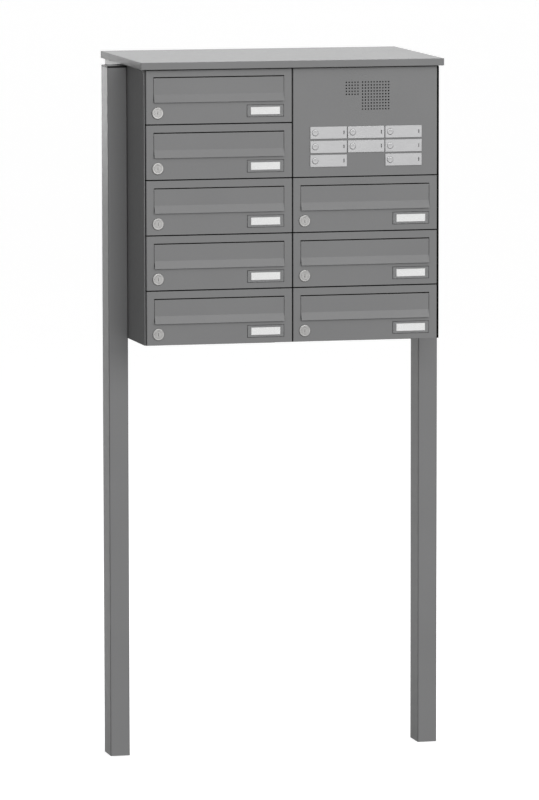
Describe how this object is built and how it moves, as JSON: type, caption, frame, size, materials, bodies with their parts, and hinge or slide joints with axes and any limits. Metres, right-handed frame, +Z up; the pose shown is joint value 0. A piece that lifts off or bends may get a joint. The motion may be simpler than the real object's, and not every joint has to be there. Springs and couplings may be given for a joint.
{
  "type": "cluster mailbox unit",
  "caption": "Free-standing letterbox cabinet on two posts, with hinged lockable doors, mail flaps, a doorbell panel and a sloped rain roof.",
  "frame": {"origin": "on the ground, under the middle of the unit's bounding box", "axes": "+X to the right of someone facing the doors, -Y towards that person, +Z up"},
  "size_m": [0.6856, 0.371, 1.4175],
  "materials": {
    "casing_coat": "satin grey powder coat",
    "roof_coat": "satin grey powder coat",
    "post_coat": "satin grey powder coat",
    "door_coat": "satin grey powder coat",
    "flap_coat": "satin grey powder coat",
    "panel_coat": "satin grey powder coat",
    "rack_zinc": "satin grey coat over zinc-plated sheet",
    "cap_plastic": "matte black plastic",
    "lock_nickel": "satin nickel plating",
    "plate_brushed": "fine horizontal brushing",
    "button_steel": "satin turned steel",
    "name_cover": "clear acrylic",
    "label_paper": "plain white paper",
    "black_plastic": "matte black plastic",
    "seal_rubber": "black rubber"
  },
  "bodies": {
    "cabinet": {"cabinet_shell": "casing_coat", "roof": "roof_coat", "left_post": "post_coat", "right_post": "post_coat", "left_post_cap": "cap_plastic", "right_post_cap": "cap_plastic", "left_rack": "rack_zinc", "right_rack": "rack_zinc", "intercom_panel": "panel_coat", "loudspeaker": "black_plastic", "microphone": "black_plastic", "bell_plate_1": "plate_brushed", "bell_plate_2": "plate_brushed", "bell_plate_3": "plate_brushed", "bell_plate_4": "plate_brushed", "bell_plate_5": "plate_brushed", "bell_plate_6": "plate_brushed", "bell_plate_7": "plate_brushed", "bell_plate_8": "plate_brushed"},
    "door_left_1": {"door_left_1": "door_coat", "name_plate_left_1": "name_cover"},
    "flap_left_1": {"flap_left_1": "flap_coat"},
    "lock_left_1": {"lock_left_1": "lock_nickel"},
    "door_left_2": {"door_left_2": "door_coat", "name_plate_left_2": "name_cover"},
    "flap_left_2": {"flap_left_2": "flap_coat"},
    "lock_left_2": {"lock_left_2": "lock_nickel"},
    "door_left_3": {"door_left_3": "door_coat", "name_plate_left_3": "name_cover"},
    "flap_left_3": {"flap_left_3": "flap_coat"},
    "lock_left_3": {"lock_left_3": "lock_nickel"},
    "door_left_4": {"door_left_4": "door_coat", "name_plate_left_4": "name_cover"},
    "flap_left_4": {"flap_left_4": "flap_coat"},
    "lock_left_4": {"lock_left_4": "lock_nickel"},
    "door_left_5": {"door_left_5": "door_coat", "name_plate_left_5": "name_cover"},
    "flap_left_5": {"flap_left_5": "flap_coat"},
    "lock_left_5": {"lock_left_5": "lock_nickel"},
    "door_right_3": {"door_right_3": "door_coat", "name_plate_right_3": "name_cover"},
    "flap_right_3": {"flap_right_3": "flap_coat"},
    "lock_right_3": {"lock_right_3": "lock_nickel"},
    "door_right_4": {"door_right_4": "door_coat", "name_plate_right_4": "name_cover"},
    "flap_right_4": {"flap_right_4": "flap_coat"},
    "lock_right_4": {"lock_right_4": "lock_nickel"},
    "door_right_5": {"door_right_5": "door_coat", "name_plate_right_5": "name_cover"},
    "flap_right_5": {"flap_right_5": "flap_coat"},
    "lock_right_5": {"lock_right_5": "lock_nickel"},
    "bell_button_1": {"bell_button_1": "button_steel"},
    "bell_button_2": {"bell_button_2": "button_steel"},
    "bell_button_3": {"bell_button_3": "button_steel"},
    "bell_button_4": {"bell_button_4": "button_steel"},
    "bell_button_5": {"bell_button_5": "button_steel"},
    "bell_button_6": {"bell_button_6": "button_steel"},
    "bell_button_7": {"bell_button_7": "button_steel"},
    "bell_button_8": {"bell_button_8": "button_steel"}
  },
  "joints": [
    {"name": "door_left_1_hinge", "type": "hinge", "parent": "cabinet", "child": "door_left_1", "pos_m": [-0.0115, -0.168, 1.34375], "axis": [0, 0, 1], "range_deg": [0, 90]},
    {"name": "flap_left_1_hinge", "type": "hinge", "parent": "door_left_1", "child": "flap_left_1", "pos_m": [-0.15, -0.169, 1.37825], "axis": [-1, 0, 0], "range_deg": [0, 80]},
    {"name": "lock_left_1_turn", "type": "hinge", "parent": "door_left_1", "child": "lock_left_1", "pos_m": [-0.275, -0.1735, 1.31175], "axis": [0, 1, 0], "range_deg": [0, 90]},
    {"name": "door_left_2_hinge", "type": "hinge", "parent": "cabinet", "child": "door_left_2", "pos_m": [-0.0115, -0.168, 1.23375], "axis": [0, 0, 1], "range_deg": [0, 90]},
    {"name": "flap_left_2_hinge", "type": "hinge", "parent": "door_left_2", "child": "flap_left_2", "pos_m": [-0.15, -0.169, 1.26825], "axis": [-1, 0, 0], "range_deg": [0, 80]},
    {"name": "lock_left_2_turn", "type": "hinge", "parent": "door_left_2", "child": "lock_left_2", "pos_m": [-0.275, -0.1735, 1.20175], "axis": [0, 1, 0], "range_deg": [0, 90]},
    {"name": "door_left_3_hinge", "type": "hinge", "parent": "cabinet", "child": "door_left_3", "pos_m": [-0.0115, -0.168, 1.12375], "axis": [0, 0, 1], "range_deg": [0, 90]},
    {"name": "flap_left_3_hinge", "type": "hinge", "parent": "door_left_3", "child": "flap_left_3", "pos_m": [-0.15, -0.169, 1.15825], "axis": [-1, 0, 0], "range_deg": [0, 80]},
    {"name": "lock_left_3_turn", "type": "hinge", "parent": "door_left_3", "child": "lock_left_3", "pos_m": [-0.275, -0.1735, 1.09175], "axis": [0, 1, 0], "range_deg": [0, 90]},
    {"name": "door_left_4_hinge", "type": "hinge", "parent": "cabinet", "child": "door_left_4", "pos_m": [-0.0115, -0.168, 1.01375], "axis": [0, 0, 1], "range_deg": [0, 90]},
    {"name": "flap_left_4_hinge", "type": "hinge", "parent": "door_left_4", "child": "flap_left_4", "pos_m": [-0.15, -0.169, 1.04825], "axis": [-1, 0, 0], "range_deg": [0, 80]},
    {"name": "lock_left_4_turn", "type": "hinge", "parent": "door_left_4", "child": "lock_left_4", "pos_m": [-0.275, -0.1735, 0.98175], "axis": [0, 1, 0], "range_deg": [0, 90]},
    {"name": "door_left_5_hinge", "type": "hinge", "parent": "cabinet", "child": "door_left_5", "pos_m": [-0.0115, -0.168, 0.90375], "axis": [0, 0, 1], "range_deg": [0, 90]},
    {"name": "flap_left_5_hinge", "type": "hinge", "parent": "door_left_5", "child": "flap_left_5", "pos_m": [-0.15, -0.169, 0.93825], "axis": [-1, 0, 0], "range_deg": [0, 80]},
    {"name": "lock_left_5_turn", "type": "hinge", "parent": "door_left_5", "child": "lock_left_5", "pos_m": [-0.275, -0.1735, 0.87175], "axis": [0, 1, 0], "range_deg": [0, 90]},
    {"name": "door_right_3_hinge", "type": "hinge", "parent": "cabinet", "child": "door_right_3", "pos_m": [0.2885, -0.168, 1.12375], "axis": [0, 0, 1], "range_deg": [0, 90]},
    {"name": "flap_right_3_hinge", "type": "hinge", "parent": "door_right_3", "child": "flap_right_3", "pos_m": [0.15, -0.169, 1.15825], "axis": [-1, 0, 0], "range_deg": [0, 80]},
    {"name": "lock_right_3_turn", "type": "hinge", "parent": "door_right_3", "child": "lock_right_3", "pos_m": [0.025, -0.1735, 1.09175], "axis": [0, 1, 0], "range_deg": [0, 90]},
    {"name": "door_right_4_hinge", "type": "hinge", "parent": "cabinet", "child": "door_right_4", "pos_m": [0.2885, -0.168, 1.01375], "axis": [0, 0, 1], "range_deg": [0, 90]},
    {"name": "flap_right_4_hinge", "type": "hinge", "parent": "door_right_4", "child": "flap_right_4", "pos_m": [0.15, -0.169, 1.04825], "axis": [-1, 0, 0], "range_deg": [0, 80]},
    {"name": "lock_right_4_turn", "type": "hinge", "parent": "door_right_4", "child": "lock_right_4", "pos_m": [0.025, -0.1735, 0.98175], "axis": [0, 1, 0], "range_deg": [0, 90]},
    {"name": "door_right_5_hinge", "type": "hinge", "parent": "cabinet", "child": "door_right_5", "pos_m": [0.2885, -0.168, 0.90375], "axis": [0, 0, 1], "range_deg": [0, 90]},
    {"name": "flap_right_5_hinge", "type": "hinge", "parent": "door_right_5", "child": "flap_right_5", "pos_m": [0.15, -0.169, 0.93825], "axis": [-1, 0, 0], "range_deg": [0, 80]},
    {"name": "lock_right_5_turn", "type": "hinge", "parent": "door_right_5", "child": "lock_right_5", "pos_m": [0.025, -0.1735, 0.87175], "axis": [0, 1, 0], "range_deg": [0, 90]},
    {"name": "bell_button_1_push", "type": "slide", "parent": "cabinet", "child": "bell_button_1", "axis": [0, 1, 0], "range_m": [0, 0.0012], "stiffness_N_per_m": 800},
    {"name": "bell_button_2_push", "type": "slide", "parent": "cabinet", "child": "bell_button_2", "axis": [0, 1, 0], "range_m": [0, 0.0012], "stiffness_N_per_m": 800},
    {"name": "bell_button_3_push", "type": "slide", "parent": "cabinet", "child": "bell_button_3", "axis": [0, 1, 0], "range_m": [0, 0.0012], "stiffness_N_per_m": 800},
    {"name": "bell_button_4_push", "type": "slide", "parent": "cabinet", "child": "bell_button_4", "axis": [0, 1, 0], "range_m": [0, 0.0012], "stiffness_N_per_m": 800},
    {"name": "bell_button_5_push", "type": "slide", "parent": "cabinet", "child": "bell_button_5", "axis": [0, 1, 0], "range_m": [0, 0.0012], "stiffness_N_per_m": 800},
    {"name": "bell_button_6_push", "type": "slide", "parent": "cabinet", "child": "bell_button_6", "axis": [0, 1, 0], "range_m": [0, 0.0012], "stiffness_N_per_m": 800},
    {"name": "bell_button_7_push", "type": "slide", "parent": "cabinet", "child": "bell_button_7", "axis": [0, 1, 0], "range_m": [0, 0.0012], "stiffness_N_per_m": 800},
    {"name": "bell_button_8_push", "type": "slide", "parent": "cabinet", "child": "bell_button_8", "axis": [0, 1, 0], "range_m": [0, 0.0012], "stiffness_N_per_m": 800}
  ]
}
